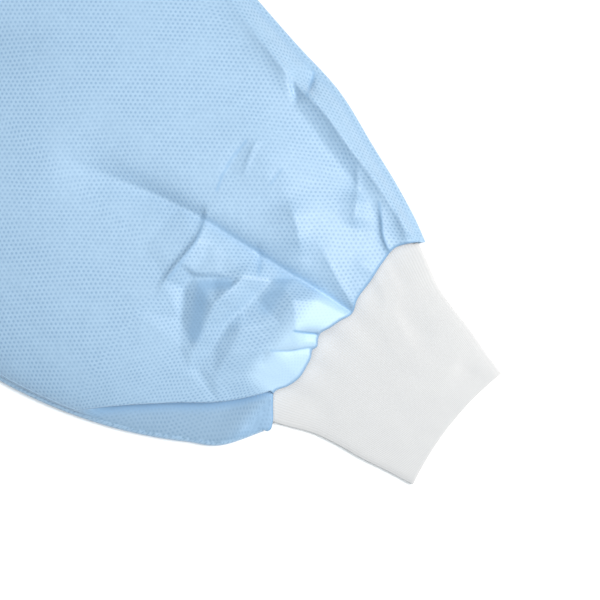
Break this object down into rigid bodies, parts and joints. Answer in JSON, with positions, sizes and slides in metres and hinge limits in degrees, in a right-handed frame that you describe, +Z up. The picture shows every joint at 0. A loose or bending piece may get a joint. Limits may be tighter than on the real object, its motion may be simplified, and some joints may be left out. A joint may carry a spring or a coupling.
{
  "type": "isolation gown",
  "caption": "Full-length disposable nonwoven isolation gown laid out flat, front up, with open overlapping back, knit cuffs, neck ties and waist ties.",
  "frame": {"origin": "on the surface under the middle of the laid out gown's outline", "axes": "+Z up from the surface, +Y from hem to neck, +X to the wearer's left"},
  "size_m": [1.436, 1.2824, 0.0322],
  "materials": {
    "nonwoven": "light blue spunbond nonwoven with a small staggered embossed dot",
    "knit": "fine off-white knit, ribs along the arm"
  },
  "bodies": {
    "root": {"front_panel": "nonwoven", "back_panel_left": "nonwoven", "back_panel_right": "nonwoven", "sleeve_left": "nonwoven", "sleeve_right": "nonwoven", "cuff_left": "knit", "cuff_right": "knit", "neck_binding": "nonwoven", "neck_tie_left": "nonwoven", "neck_tie_right": "nonwoven", "waist_tie_left": "nonwoven", "waist_tie_right": "nonwoven"}
  },
  "joints": []
}
